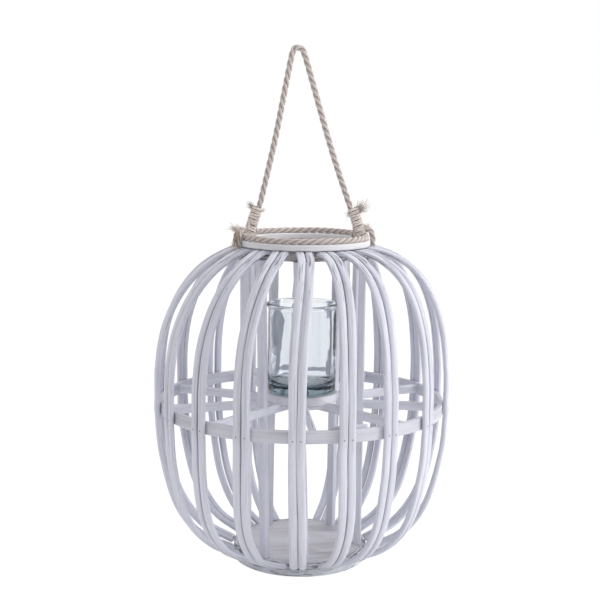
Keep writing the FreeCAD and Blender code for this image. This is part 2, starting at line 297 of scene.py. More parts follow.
# How far each batten's foot and head stand round from its place, in degrees
POST_LEAN = ((-0.5, -10.0), (3.0, -2.5), (0.0, 1.5), (0.0, -6.0), (-3.0, -6.5),
             (6.0, 0.5), (1.0, -4.0), (1.0, -4.0), (2.3, -4.0))
POST_R = 80.0
POST_W = 11.0
POST_T = 9.0
NECK_IN_R = 70.0
NECK_R = 78.0
NECK_Z = 414.0
HOOP_Z = 428.4

# Whitewash on planed pine: pale, with fine grain and few bare spots
white_batten = washed_wood("whitewashed_pine", "#e2e3ec", "#c9cad4", "#9b999e",
                           grain_mm=(70, 2.6), patch_mm=(44, 8.7), worn=0.06)


def outward(angle):
    """Unit vectors at an angle from the front towards the right: outward and along the hoop."""
    a = np.radians(angle)
    return np.array([np.sin(a), -np.cos(a), 0.0]), np.array([np.cos(a), np.sin(a), 0.0])


for k, angle in enumerate(POST_ANGLES):
    foot, head = (POST_R * outward(angle + lean)[0] for lean in POST_LEAN[k])
    out, along = outward(angle + sum(POST_LEAN[k]) / 2)
    height = np.r_[BOARD_TOP, BOARD_TOP + 0.6, np.linspace(BOARD_TOP + 8, NECK_Z - 8, 22),
                   NECK_Z - 0.6, NECK_Z]
    share = ((height - BOARD_TOP) / (NECK_Z - BOARD_TOP))[:, None]
    warp = np.sin(np.pi * share) * chance.uniform(-1.0, 1.0) + 0.5 * np.sin(9 * share + k)
    path = foot + share * (head - foot) + height[:, None] * (0, 0, 1.0) + 0.6 * warp * along
    grid = carried(bar_section(POST_W, POST_T, edge=1.1), path, 0 * path + along, 0 * path + out)
    piece("batten_%d" % (k + 1), [grid], white_batten, "white_wood", "lantern", "post_%d" % (k + 1))

# Painted shade: the neck ring, inside and out, has a darker, greyer wash and more dark streaks than
# the other wood, for the shadow it lies in behind the canes and under the top hoop
shade_darkened_ring = washed_wood("shade_darkened_bent_wood", "#b8b2b3", "#928c8c", "#625d5c",
                       grain_mm=(60, 2.2), patch_mm=(30, 4.0), worn=0.24)
piece("neck_ring_bent", [hoop(NECK_IN_R, NECK_R, NECK_Z, HOOP_Z, edge=0.9, count=160)],
      shade_darkened_ring, "white_wood", "lantern", "neck_ring", joined=True)


# Shelf: nine rounded bars run from the middle hoop in through the battens to a small round board
# of two layers, glued up, that carries the glass.
SPOKE_W = 8.0
SPOKE_H = 12.0
SPOKE_Z = 208.5
SPOKE_IN_R = 26.0
SHELF_R = 48.5
SHELF_T = 8.5
SHELF_SEAM_Z = 217.4
SHELF_LOW_Z = 213.0
GLUE_T = 0.3
MID_R = 190.2
MID_T = 5.0

for k, angle in enumerate(POST_ANGLES):
    out, along = outward(angle)
    run = MID_R - MID_T - SPOKE_IN_R
    reach = SPOKE_IN_R + run * np.r_[0, 0.004, np.linspace(0.03, 0.97, 16), 0.996, 1]
    bow = 0.5 * np.sin(np.pi * (reach - SPOKE_IN_R) / run + chance.uniform(-0.6, 0.6))
    path = reach[:, None] * out + (SPOKE_Z + SPOKE_H / 2) * np.array([0, 0, 1.0]) + bow[:, None] * along
    grid = carried(bar_section(SPOKE_W, SPOKE_H, edge=2.6), path, 0 * path + along,
                   0 * path + (0, 0, 1.0))
    piece("spoke_bar_%d" % (k + 1), [grid], white_batten, "white_wood", "lantern", "spoke_%d" % (k + 1))

# The same limewash as on the base board, brighter and with no rubbed rim
board_wood = washed_wood("limewashed_pine_board", "#e8e7ed", "#cfcdd2", "#a3a0a6",
                         grain_mm=(160, 12.0), patch_mm=(100, 40), worn=0.02, rough=0.7, board=-0.16)
piece("shelf_disc", [round_board(SHELF_R, SHELF_SEAM_Z + GLUE_T, SPOKE_Z + SPOKE_H + SHELF_T, edge=1.2),
                     round_board(SHELF_R - GLUE_T, SHELF_LOW_Z, SHELF_SEAM_Z, edge=0.9)],
      board_wood, "board_wood", "lantern", "shelf_board")


# Middle hoop: one thin ash strip bent round the inside of the canes at their widest place, where
# it beds a little into their backs. Its end laps over its start, higher by a few millimetres.
MID_Z = 206.5
MID_H = 16.0
MID_BED = 1.0
LAP_T = 3.0
LAP_RISE = 4.0
LAP_FROM = 11.0
LAP_TO = 26.0

# Whitewash on a bent strip: a little greyer, with long thin grain
bent_strip = washed_wood("whitewashed_bent_strip", "#d5d5df", "#b9b9c3", "#8d8b8e",
                         grain_mm=(90, 2.4), patch_mm=(56, 8.0), worn=0.09)
lap_turn = np.radians(np.linspace(LAP_FROM, LAP_TO, 14))
lap_out = np.stack([np.sin(lap_turn), -np.cos(lap_turn), 0 * lap_turn], 1)
lap_path = lap_out * (MID_R - MID_T - LAP_T / 2) + (0, 0, MID_Z + LAP_RISE + MID_H / 2)
lap_grid = carried(bar_section(LAP_T, MID_H, edge=0.7), lap_path, lap_out, 0 * lap_out + (0, 0, 1.0))
mid_grid = hoop(MID_R - MID_T, MID_R + MID_BED, MID_Z, MID_Z + MID_H, edge=0.8, wander=0.12)
piece("middle_hoop", [mid_grid], bent_strip, "white_wood", "lantern", "mid_hoop", joined=True)
piece("middle_hoop_lap", [lap_grid], bent_strip, "white_wood", "lantern")


# Canes: peeled canes laid in pairs round the cage, steamed to the barrel shape and nailed to the
# neck, the middle hoop and the base. Round, a little uneven, painted white, and rounded off at
# the foot.
CANE_W = 10.6
CANE_T = 7.2
CANE_FACE = 4.25
# Each pair: its place round the cage, how far it strays below the middle and then at its very
# foot, all in degrees, and the gap between its canes
PAIRS = ((-1.5, 0.8, 0, 0.6), (16.7, 2.2, 2, 0.2), (34.4, 1.2, -2, 1.2), (55.3, 1.0, -3, 0.5),
         (80.5, 0.4, -2, 0.5), (104, -0.3, 0, 0.5), (122.5, 0.6, 1, 0.5), (143, 0, -1, 2.0),
         (162.5, -0.5, 0, 2.0), (182, 0.4, 0, 0.5), (204.5, 0, 1, 4.0), (221.5, 0.5, 0, 4.0),
         (241.5, -0.4, -1, 0.5), (262, 0.3, 0, 0.5), (283, -0.8, 2, 0.5), (300.3, -2.0, 4, 1.0),
         (319.5, -3.0, 6, 0.6), (338.3, -2.4, 8, 0.4))
# The heights at which a pair starts to stray and its foot to sweep, and how far down each takes
STRAY_FROM = 200
STRAY_RUN = 130
SWEEP_FROM = 32
SWEEP_RUN = 19
# The dome's lean to the right and the heights between which it comes on
LEAN = 7.0
LEAN_FROM = 255.0
LEAN_TO = 415.0
# From this height up a cane is pared flat, to lie under the top hoop
PARED_FROM = 390
# The barrel line, from under the top hoop down to the base: its radius and height at each place
CANE_LINE = np.array([
    (77.9, 424.15), (93, 424.15), (117, 414.9), (147.5, 393), (170.5, 361), (186.5, 317.5),
    (193.6, 268), (194.4, 229), (194.4, 203), (189.2, 150), (170.5, 81.5), (138, 37.5), (92.0, 13.8)])

# White paint on peeled cane: smooth and a little shinier, streaked lengthwise, in more dark patches
# towards the neck, and darker where it faces its neighbour: bare wood with painted shade of the gap
white_cane = washed_wood("white_painted_peeled_cane", "#dfe0eb", "#b8b9c6", "#7e7f8a", grain_mm=(75, 2.2),
                         patch_mm=(44, 2.8), worn=0.07, rough=0.55, patchier_between=(0.33, 0.415), girth_mm=29.0)


def smooth_step(share):
    """3 s^2 - 2 s^3 of a share s, held between 0 and 1."""
    s = np.clip(share, 0, 1)
    return s * s * (3 - 2 * s)


def even(line, count):
    """The line again with count points at equal distances along it."""
    run = np.r_[0, np.cumsum(np.linalg.norm(np.diff(line, axis=0), axis=1))]
    at = np.linspace(0, run[-1], count)
    return np.stack([np.interp(at, run, line[:, k]) for k in range(line.shape[1])], axis=1)


def curve_through(knots, count):
    """A Catmull-Rom curve through the knots: between two knots a cubic whose slopes are half
    the distance between the knots on either side, then spaced evenly."""
    k = np.vstack([2 * knots[0] - knots[1], knots, 2 * knots[-1] - knots[-2]])
    t = np.linspace(0, 1, 24, endpoint=False)[None, :, None]
    a, b, c, d = (k[n:len(k) - 3 + n, None] for n in range(4))
    line = b + 0.5 * t * (c - a + t * (2 * a - 5 * b + 4 * c - d + t * (3 * (b - c) + d - a)))
    return even(np.vstack([line.reshape(-1, knots.shape[1]), knots[-1:]]), count)


def cane(angle, stray, sweep, gap, side):
    """One cane: a flattened round carried along the barrel line in its own upright plane.

    Below mid height the plane turns by stray degrees and near the base by sweep, both as a
    smooth step; above the middle hoop the whole cage leans to the right, by a smooth step of
    the height to the power 1.5. The cane wanders sideways by two sine waves, and its size
    swells by another, all fading out at its ends. Its section is (cos a)^p across and
    (sin a)^p deep, with p falling from 1, an oval, at the foot to 0.5, nearly a bar, at the
    neck. Its outer face keeps its distance from the barrel line, and its first point lies
    beside the pair's other cane.
    """
    line = curve_through(CANE_LINE, 120)
    last = np.array([0.35, 0.6, 0.8, 0.92, 1.0])[:, None]
    line = np.vstack([line[:-1], line[-2] + (line[-1] - line[-2]) * last])
    radius, height = line[:, 0], line[:, 1]
    turn = (angle + stray * smooth_step((STRAY_FROM - height) / STRAY_RUN)
            + sweep * smooth_step((SWEEP_FROM - height) / SWEEP_RUN))
    turn = np.radians(turn)[:, None]
    level = 0 * turn
    out = np.concatenate([np.sin(turn), -np.cos(turn), level], 1)
    along = np.concatenate([np.cos(turn), np.sin(turn), level], 1)
    share = np.linspace(0, 1, len(line))
    fade = np.sin(np.pi * share) ** 0.6
    phase = chance.uniform(0, 6.3, 3)
    wander = fade * (0.5 * np.sin(5 * share + phase[0]) + 0.4 * np.sin(14 * share + phase[1]))
    slope = np.gradient(line, axis=0)
    slope /= np.linalg.norm(slope, axis=1)[:, None]
    face = -slope[:, 1:] * out + slope[:, :1] * (0, 0, 1.0)
    size = chance.uniform(0.95, 1.03) + 0.03 * fade * np.sin(11 * share + phase[2])
    size[-5:] *= (0.98, 0.9, 0.72, 0.48, 0.1)
    about = np.linspace(0, 2 * np.pi, 20, endpoint=False) + (np.pi if side > 0 else 0)
    across, up = np.cos(about), np.sin(about)
    power = np.interp(height, (15, 60, PARED_FROM, 420), (1.0, 0.78, 0.78, 0.5))[:, None]
    wide = CANE_W / 2 * np.interp(height, (PARED_FROM, 422), (1, 0.92))[:, None]
    deep = CANE_T / 2 * np.interp(height, (PARED_FROM, 422), (1, 0.8))[:, None]
    oval = np.stack([wide * np.sign(across) * abs(across) ** power,
                     deep * np.sign(up) * abs(up) ** power], -1)
    rise = np.clip((height - LEAN_FROM) / (LEAN_TO - LEAN_FROM), 0, 1) ** 1.5
    lean = LEAN * smooth_step(rise) * np.interp(radius, (78, 110), (0.4, 1))
    path = radius[:, None] * out + height[:, None] * (0, 0, 1.0) + lean[:, None] * (1.0, 0, 0)
    path += (CANE_FACE - deep) * face
    path += (side * (CANE_W + gap) / 2 + wander)[:, None] * along
    # The pared end is pressed down a little under the top hoop
    path -= np.interp(height, (405, 420), (0, 1.3))[:, None] * (0, 0, 1.0)
    return carried(oval, path, along, face, size)


laid_pairs = []
for k, (angle, *rest) in enumerate(PAIRS):
    canes = [cane(angle, *rest, side) for side in (-1, 1)]
    piece("canes_%02d" % (k + 1), canes, white_cane, "white_cane", "lantern", "rib_pair_%02d" % (k + 1))
    laid_pairs.append((angle, canes))


# Brads: thin steel pins driven through every cane into the middle hoop and painted over with it.
# Only their shallow heads show.
BRAD_Z = 214.0
BRAD_R = 1.3
BRAD_DOME = 0.7
BRAD_DEPTH = 0.8
BRAD_SUNK = 0.3
SPECK_MM = 1.1111

# Thin paint on steel: a dull grey, darker where it has rubbed off
nail_steel = bpy.data.materials.new("painted_steel_brad")
nail_steel.use_nodes = True
tree = nail_steel.node_tree
shader = tree.nodes["Principled BSDF"]
speck = add(tree, "TexNoise", {"Vector": add(tree, "TexCoord").outputs["Object"],
                               "Scale": 1000 / SPECK_MM})
grime = add(tree, "Mix", {0: speck.outputs[0], 6: linear("#b4b5c0"), 7: linear("#85858d")},
            data_type="RGBA")
tree.links.new(grime.outputs[2], shader.inputs["Base Color"])
shader.inputs["Metallic"].default_value = 0.5
shader.inputs["Roughness"].default_value = 0.5


def brad(place, out, along):
    """A brad's head: a shallow dome, its rings shrinking as a quarter circle while they rise."""
    turn = np.linspace(0, 2 * np.pi, 10, endpoint=False)
    tilt = np.radians([0, 35, 65])[:, None]
    up = np.cross(out, along)
    ring = BRAD_R * (np.cos(turn)[:, None] * along + np.sin(turn)[:, None] * up)
    dome = place + np.cos(tilt)[..., None] * ring + BRAD_DOME * np.sin(tilt)[..., None] * out
    return np.concatenate([(place - BRAD_DEPTH * out + ring)[None], dome])


brads = []
for angle, canes in laid_pairs:
    out, along = outward(angle)
    for grid in canes:
        ring = grid[np.argmin(abs(grid.mean(1)[:, 2] - BRAD_Z))]
        face = ring[np.argmax(ring @ out)]
        brads.append(brad(face - BRAD_SUNK * out, out, along))
piece("cane_brads", brads, nail_steel, "white_wood", "lantern")


# Top hoop: a round of bent wood laid over the cane ends and nailed down through them into the
# neck ring. Its white wash is the cleanest, with little of the grain showing.
HOOP_IN_R = 75.0
HOOP_R = 89.2
HOOP_H = 8.0
HOOP_TOP = HOOP_Z + HOOP_H

# Whitewash on bent wood: near white, warmer than the canes
pale_hoop = washed_wood("whitewashed_neck_hoop", "#e6e5e8", "#d2d1d5", "#a5a2a3",
                        grain_mm=(90, 2.4), patch_mm=(56, 8.0), worn=0.05)
piece("top_hoop_bent", [hoop(HOOP_IN_R, HOOP_R, HOOP_Z, HOOP_TOP, edge=1.6, wander=0.1)],
      pale_hoop, "white_wood", "lantern", "top_hoop", joined=True)


# Rope ring: three-strand twisted cotton and jute rope, glued down on the top hoop in a closed ring.
# Its strands are spun from fine threads, with painted shade darkening each towards the grooves between
# them.
RING_ROPE_R = 83.5
RING_ROPE_D = 8.2
ROPE_LAY = 33.0
ROPE_SUNK = 0.2
ROPE_WAVE = 0.25
# Half depth and half width of a strand, and its middle's distance from the rope's, as shares of
# the rope's thickness
STRAND_DEEP = 0.238
STRAND_WIDE = 0.252
STRAND_OUT = 0.262
# Length and width of a spun thread and of a blot of colour along a strand
THREAD_MM = (12.5, 0.7143)
BLOT_MM = (16.667, 8.3333)


def rope_fibre(name, pale, dark, stray, groove_shade, girth_mm):
    """Natural fibre, spun and twisted: fine threads run slantwise along a strand.

    A strand is painted pale on its crown, where v = 0, and darker towards its neighbour as the
    cosine of v over its girth: painted shade of the hollow between strands. Dry and dull, with a soft
    sheen at its edges.
    """
    made = bpy.data.materials.new(name)
    made.use_nodes = True
    tree = made.node_tree
    shader = tree.nodes["Principled BSDF"]
    lie = add(tree, "UVMap", uv_map="lay").outputs["UV"]
    spun = add(tree, "Mapping", {"Vector": lie, "Rotation": (0, 0, 0.5),
                                 "Scale": (1000 / THREAD_MM[0], 1000 / THREAD_MM[1], 1)})
    yarn = add(tree, "TexNoise", {"Vector": spun.outputs[0], "Scale": 1.0, "Detail": 3.0,
                                  "Roughness": 0.7})
    blot = add(tree, "Mapping", {"Vector": lie, "Scale": (1000 / BLOT_MM[0], 1000 / BLOT_MM[1], 1)})
    tone = add(tree, "TexNoise", {"Vector": blot.outputs[0], "Scale": 1.0, "Detail": 2.0})
    thread = add(tree, "MapRange", {"Value": yarn.outputs[0], "From Min": 0.35, "From Max": 0.65})
    fibre = add(tree, "Mix", {0: thread.outputs[0], 6: linear(dark), 7: linear(pale)},
                data_type="RGBA")
    warm = add(tree, "MapRange", {"Value": tone.outputs[0], "From Min": 0.4, "From Max": 0.75,
                                  "To Max": 0.6})
    mixed = add(tree, "Mix", {0: warm.outputs[0], 6: fibre.outputs[2], 7: linear(stray)},
                data_type="RGBA")
    # Painted shade: each strand darkens from its pale crown towards the strands beside it
    beside = add(tree, "SeparateXYZ", {0: lie}).outputs["Y"]
    turned = add(tree, "Math", {0: beside, 1: 2000 * np.pi / girth_mm}, operation="MULTIPLY")
    crown = add(tree, "Math", {0: turned.outputs[0]}, operation="COSINE")
    crown_light = add(tree, "MapRange", {"Value": crown.outputs[0], "From Min": -0.05, "From Max": 0.7})
    shade = add(tree, "Mix", {0: crown_light.outputs[0], 6: linear(groove_shade), 7: mixed.outputs[2]},
                data_type="RGBA")
    tree.links.new(shade.outputs[2], shader.inputs["Base Color"])
    shader.inputs["Roughness"].default_value = 0.9
    shader.inputs["Sheen Weight"].default_value = 0.15
    shader.inputs["Sheen Roughness"].default_value = 0.5
    bump = add(tree, "Bump", {"Height": yarn.outputs[0], "Strength": 0.6, "Distance": 0.0006})
    tree.links.new(bump.outputs[0], shader.inputs["Normal"])
    return made


def strands(line, normal, thick, lay, closed=False, taper=None):
    """Three strands of a laid rope round a flat line.

    Strand k's middle runs at line + e * (cos p * side + sin p * normal), where p falls by a
    full turn in each lay length, which is a left-hand twist; each strand is an oval tube,
    wider along the rope's surface than it is deep. taper gives the rope's size at each point.
    """
    slope = np.gradient(np.vstack([line[-2:-1], line, line[1:2]]) if closed else line, axis=0)
    slope = slope[1:-1] if closed else slope
    slope /= np.linalg.norm(slope, axis=1)[:, None]
    side = np.cross(normal, slope)
    run = np.r_[0, np.cumsum(np.linalg.norm(np.diff(line, axis=0), axis=1))]
    turns = run / lay
    if closed:
        turns *= round(turns[-1]) / turns[-1]
    size = np.ones(len(line)) if taper is None else taper
    ring = np.linspace(0, 2 * np.pi, 10, endpoint=False)
    oval = thick * np.stack([STRAND_DEEP * np.cos(ring), STRAND_WIDE * np.sin(ring)], 1)
    grids = []
    for k in range(3):
        p = -2 * np.pi * (turns + k / 3)
        spread = np.cos(p)[:, None] * side + np.sin(p)[:, None] * normal
        path = line + STRAND_OUT * thick * size[:, None] * spread
        course = np.gradient(path, axis=0)
        course /= np.linalg.norm(course, axis=1)[:, None]
        grids.append(carried(oval, path, spread, np.cross(course, spread), size))
    return grids


# Undyed cotton and jute: a pale warm grey, with a darker colour as painted shade in the grooves
rope = rope_fibre("twisted_cotton_jute_rope", "#d8cfcb", "#c8beb9", "#d1c5be", "#b3a8a2", 12.5)
turn = np.linspace(0, 2 * np.pi, 481)
ring_line = np.stack([RING_ROPE_R * np.sin(turn), -RING_ROPE_R * np.cos(turn),
                      HOOP_TOP + RING_ROPE_D / 2 - ROPE_SUNK + ROPE_WAVE * np.sin(5 * turn)], 1)
ring_strands = strands(ring_line, np.array([0, 0, 1.0]), RING_ROPE_D, ROPE_LAY, closed=True)
piece("rope_ring_laid", [grid[:-1] for grid in ring_strands], rope, "rope", "lantern", "rope_ring",
      joined=True)


# Rope eyes: at each side the handle's rope goes down inside the neck, under it between two pairs
# of canes, up outside the hoop and back to its own leg.
HANDLE_TURN = 2.4
ROPE_D = 8.4
HINGE_Z = 455.0
TAIL_GAP = 6.0
SQUEEZE = 0.82
EYE_ROOM = 0.7
EYE_COUNT = 190
# Each leg of the handle: its side, how far out its foot stands, its lean in degrees, and how far
# out and how far forwards its eye's outer run goes
FOOT = {"left": (-1, 65.0, 17.0, 85.5, 36.0), "right": (1, 69.5, 18.0, 93.2, 0.0)}

handle_across = outward(HANDLE_TURN)[1]
handle_normal = np.array([-handle_across[1], handle_across[0], 0.0])


def smooth_route(points):
    """Points along a smooth line: a NURBS spline of order 3 whose control points are the route."""
    curve = bpy.data.curves.new("route", "CURVE")
    curve.dimensions = "3D"
    spline = curve.splines.new("NURBS")
    spline.points.add(len(points) - 1)
    spline.points.foreach_set("co", np.c_[points, np.ones(len(points))].ravel())
    spline.order_u = 3
    spline.use_endpoint_u = True
    spline.resolution_u = 32
    holder = bpy.data.objects.new("route", curve)
    mesh = bpy.data.meshes.new_from_object(holder)
    line = np.empty(len(mesh.vertices) * 3)
    mesh.vertices.foreach_get("co", line)
    bpy.data.meshes.remove(mesh)
    bpy.data.objects.remove(holder)
    bpy.data.curves.remove(curve)
    return line.reshape(-1, 3)


def in_handle(side, places):
    """Places by the handle's plane, rows of (outwards, height) or (outwards, height, forwards),
    put into the lantern's frame."""
    u, z, *ahead = np.array(places, float).T
    found = side * u[:, None] * handle_across + z[:, None] * (0, 0, 1.0)
    return found - ahead[0][:, None] * handle_normal if ahead else found


def by_foot(name, out, run):
    """A place beside a leg's foot: out from the leg, and run up along it."""
    foot, lean = FOOT[name][1:3]
    a = np.radians(lean)
    return foot + out * np.cos(a) - run * np.sin(a), HINGE_Z + out * np.sin(a) + run * np.cos(a)


def bends_with_handle(made):
    """Bakes the piece's transform into its mesh; no body carries it."""
    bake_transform(made)


for name, (side, foot, lean, beyond, ahead) in FOOT.items():
    within = NECK_IN_R - ROPE_D / 2 - EYE_ROOM
    under = NECK_Z - ROPE_D / 2 - EYE_ROOM
    route = [(*by_foot(name, 0, 8), 0), (*by_foot(name, 0, 1), 0), (foot - 1, 446, 0),
             (within, 437, 0), (within, under, 0), (beyond, under, ahead), (beyond, 440, ahead),
             (beyond - 3, 448, 0.9 * ahead), (foot + TAIL_GAP + 5, 450.5, 0.3 * ahead),
             (*by_foot(name, TAIL_GAP, 5), 0), (*by_foot(name, TAIL_GAP, 12), 0)]
    line = even(smooth_route(in_handle(side, route)), EYE_COUNT)
    slim = np.interp(np.linspace(0, 1, EYE_COUNT), (0, 0.1, 0.2, 0.86, 0.94, 1),
                     (0.8, 0.8, 0.95, 0.95, 0.8, 0.8))
    eye = piece(name + "_eye", strands(line, handle_normal, ROPE_D, ROPE_LAY, taper=slim),
                rope, "rope", None, name + "_rope_eye")
    bends_with_handle(eye)


# Handle: one length of the same rope, drawn up to a tight bend as over a hook. Each end is squeezed
# where it is bound, and a folded-back tail lies beside it.
HANDLE_LENGTH = 485
HANDLE_COUNT = 620
TAIL_COUNT = 60

handle_route = in_handle(1, [
    (-65, 455), (-57.6, 482), (-47.9, 524), (-37.2, 572), (-26.2, 631), (-17.6, 677), (-14.5, 685.3),
    (-4.5, 685.3), (-0.2, 675.5), (13, 630.5), (31.5, 568), (46.5, 522), (61, 482), (69.5, 455)])
handle_line = smooth_route(handle_route)
handle_points = even(handle_line, HANDLE_COUNT)
step = np.arange(HANDLE_COUNT)
from_end = np.minimum(step, step[::-1]) * HANDLE_LENGTH / HANDLE_COUNT
bound = np.interp(from_end, (20, 30), (SQUEEZE, 1))
handle = piece("handle_rope_laid", strands(handle_points, handle_normal, ROPE_D, ROPE_LAY, taper=bound),
               rope, "rope", "handle", "handle_rope")

for name, (side, *_) in FOOT.items():
    tail_line = smooth_route(in_handle(side, [by_foot(name, TAIL_GAP, -1), by_foot(name, TAIL_GAP, 12),
                                              by_foot(name, TAIL_GAP + 1, 23)]))
    tail_grids = strands(even(tail_line, TAIL_COUNT), handle_normal, ROPE_D, ROPE_LAY,
                         taper=np.full(TAIL_COUNT, SQUEEZE))
    piece(name + "_tail", tail_grids, rope, "rope", "handle", name + "_rope_tail")


# Bindings: thin twine wound tight by hand round each leg and its tail, from the rope ring up, a
# little unevenly. Its lower turns are made as a piece of their own.
BIND_FROM = -15.0
BIND_TO = 22.0
# How far up the binding its turns go into the lower piece
BENDING = 22.0
TWINE_D = 1.9
# The turns' spacing in widths of twine, and the points in a turn
TWINE_PITCH = 1.08
TURN_COUNT = 26

# Jute twine: paler and creamier than the rope, with the same painted shade in its grooves
twine = rope_fibre("natural_jute_twine", "#f8f0eb", "#e8ddd6", "#ecdfd5", "#cfc2b8", 5.8)
for name, (side, foot, lean, *_) in FOOT.items():
    a = np.radians(lean)
    up = side * -np.sin(a) * handle_across + np.cos(a) * np.array([0, 0, 1.0])
    away = side * np.cos(a) * handle_across + np.sin(a) * np.array([0, 0, 1.0])
    turns = int((BIND_TO - BIND_FROM) / (TWINE_D * TWINE_PITCH))
    t = np.linspace(0, 2 * np.pi * turns, turns * TURN_COUNT)
    # The turns follow |x|^2.6 + |y|^2.6 = 1 round the two ropes, now tighter and now looser
    hug = (abs(np.cos(t)) ** 2.6 + abs(np.sin(t)) ** 2.6) ** (1 / 2.6)
    loose = 1 + 0.035 * np.sin(0.37 * t + foot) + 0.025 * np.sin(0.83 * t)
    half = (TAIL_GAP / 2 + SQUEEZE * ROPE_D / 2 + 0.5, SQUEEZE * ROPE_D / 2 + 0.6)
    middle = in_handle(side, [by_foot(name, TAIL_GAP / 2, BIND_FROM)])[0]
    rise = (BIND_TO - BIND_FROM) * t / t[-1] + 0.5 * np.sin(t + 0.21 * t) + 0.3 * np.sin(0.49 * t)
    spoke = ((half[0] * loose * np.cos(t) / hug)[:, None] * away
             + (half[1] * loose * np.sin(t) / hug)[:, None] * handle_normal)
    path = middle + rise[:, None] * up + spoke
    course = np.gradient(path, axis=0)
    course /= np.linalg.norm(course, axis=1)[:, None]
    wide = spoke - (spoke * course).sum(1)[:, None] * course
    wide /= np.linalg.norm(wide, axis=1)[:, None]
    ring = np.linspace(0, 2 * np.pi, 8, endpoint=False)
    circle = TWINE_D / 2 * np.stack([np.cos(ring), np.sin(ring)], 1)
    grid = carried(circle, path, wide, np.cross(course, wide))
    lower = np.searchsorted(rise, BENDING)
    piece(name + "_seizing", [grid[lower:]], twine, "twine", "handle",
                           name + "_binding")
    bends_with_handle(piece(name + "_seizing_lower", [grid[:lower + 1]], twine, "twine", None))


# Frayed ends: where rope and twine are cut, their fibres spring apart into a short dense tuft. Those
# at the bindings' tops swing with the handle. The left twine's knot lies at the hoop's outer edge
# and stays on the neck, with a bunch of loose strands hanging from it.
def tuft(root, aim, spread, reach, count, thick=0.55):
    """Loose fibres from one root: each bends away from the aim by spread * t to the power 1.6
    and droops a little, and thins from thick to a third of it; t runs from 0 to 1."""
    t = np.linspace(0, 1, 7)[:, None]
    aim = np.array(aim) / np.linalg.norm(aim)
    grids = []
    starts = chance.normal(0, 1.4, (count, 3))
    leans = chance.normal(0, spread, (count, 3))
    lengths = chance.uniform(0.45, 1.0, count) * reach
    droop = 0.15 * t ** 2 * np.array([0, 0, 1.0])
    for start, lean, length in zip(starts, leans, lengths):
        path = root + start + length * (aim * t + lean * t ** 1.6 - droop)
        course = np.gradient(path, axis=0)
        course /= np.linalg.norm(course, axis=1)[:, None]
        wide = np.cross(course, [0.31, 0.77, 0.56])
        wide /= np.linalg.norm(wide, axis=1)[:, None]
        ring = np.linspace(0, 2 * np.pi, 4, endpoint=False)
        circle = thick / 2 * np.stack([np.cos(ring), np.sin(ring)], 1)
        grids.append(carried(circle, path, wide, np.cross(course, wide), 1 - 0.66 * t[:, 0]))
    return grids


def tuft_at(side, place, aim, spread, reach, count):
    """A tuft by the handle's plane: place is (outwards, height) or (outwards, height, forwards), and
    aim is (outwards, up)."""
    toward = side * aim[0] * handle_across + aim[1] * np.array([0, 0, 1.0])
    return tuft(in_handle(side, [place])[0], toward, spread, reach, count)


left_top = (tuft_at(-1, (66.5, 477), (0.7, 0.6), 0.4, 8.5, 130)
            + tuft_at(-1, (56.5, 473), (-0.95, 0.15), 0.35, 6, 26))
right_top = (tuft_at(1, (71.5, 471), (0.5, 0.85), 0.42, 16, 230)
             + tuft_at(1, (62.5, 469.5), (-0.95, -0.05), 0.35, 7.5, 34))
piece("left_frayed_end", left_top, rope, "rope", "handle")
piece("right_frayed_end", right_top, rope, "rope", "handle")
left_low = (tuft_at(-1, (86, 449, 32), (0.75, 0.5), 0.4, 10, 150)
            + tuft_at(-1, (80, 449, 22), (0.5, 0.35), 0.5, 8, 90))
left_strands = tuft_at(-1, (88, 447, 38), (0.12, -1), 0.17, 19, 90)
right_low = tuft_at(1, (83.5, 449.5), (0.5, 0.85), 0.42, 8, 100)
# Unspun jute: browner and duller than the twine, with painted shade along each fibre
raw_jute = rope_fibre("raw_jute_strands", "#dfcbbb", "#c4aea0", "#d0b6a2", "#a38d7c", 2.0)
piece("left_frayed_twine", left_low, twine, "twine", "lantern")
piece("left_loose_strands", left_strands, raw_jute, "twine", "lantern")
bends_with_handle(piece("right_frayed_twine", right_low, twine, "twine", None))


# Glass cup: a thick tumbler of pale green pressed glass, loose on the shelf. Its wall is wavy
# inside, its lip is rolled and its floor is as thick as a finger.
GLASS_ROOM = 0.3
GLASS_Z = SPOKE_Z + SPOKE_H + SHELF_T + GLASS_ROOM
GLASS_H = 121.0
GLASS_R = 46.0
GLASS_WALL = 3.0
GLASS_FLOOR = 12.0
LIP_R = 49.0
LIP_H = 6.5
RIPPLE_MM = 16.667
PROFILE_COUNT = 150
# The number of the profile's point past which it runs down inside, and how far the wall waves
INSIDE_FROM = 84
WAVE = 0.34

# Smooth fire-polished glass: clear where it is thin and grey green in its thick floor, with a painted
# dark grey green reflection at its edges
green_glass = bpy.data.materials.new("pale_green_pressed_glass")
green_glass.use_nodes = True
tree = green_glass.node_tree
shader = tree.nodes["Principled BSDF"]
# Painted reflection: seen edge-on, the glass's colour darkens to grey green, as for dark surroundings
facing = add(tree, "LayerWeight", {"Blend": 0.25})
edge_on_dark_reflection = add(tree, "MapRange", {"Value": facing.outputs["Facing"], "From Min": 0.55, "From Max": 0.95})
tint_and_edge_reflection = add(tree, "Mix", {0: edge_on_dark_reflection.outputs[0], 6: linear("#f3f5f8"), 7: linear("#56696c")},
           data_type="RGBA")
tree.links.new(tint_and_edge_reflection.outputs[2], shader.inputs["Base Color"])
shader.inputs["Roughness"].default_value = 0.02
shader.inputs["IOR"].default_value = 1.5
shader.inputs["Transmission Weight"].default_value = 1.0
ripple = add(tree, "TexNoise", {"Vector": add(tree, "TexCoord").outputs["Object"],
                                "Scale": 1000 / RIPPLE_MM, "Detail": 1.0})
bump = add(tree, "Bump", {"Height": ripple.outputs[0], "Strength": 0.2, "Distance": 0.002})
tree.links.new(bump.outputs[0], shader.inputs["Normal"])
depth = add(tree, "VolumeAbsorption", {"Color": linear("#a5bcc3"), "Density": 26.0})
tree.links.new(depth.outputs[0], tree.nodes["Material Output"].inputs["Volume"])

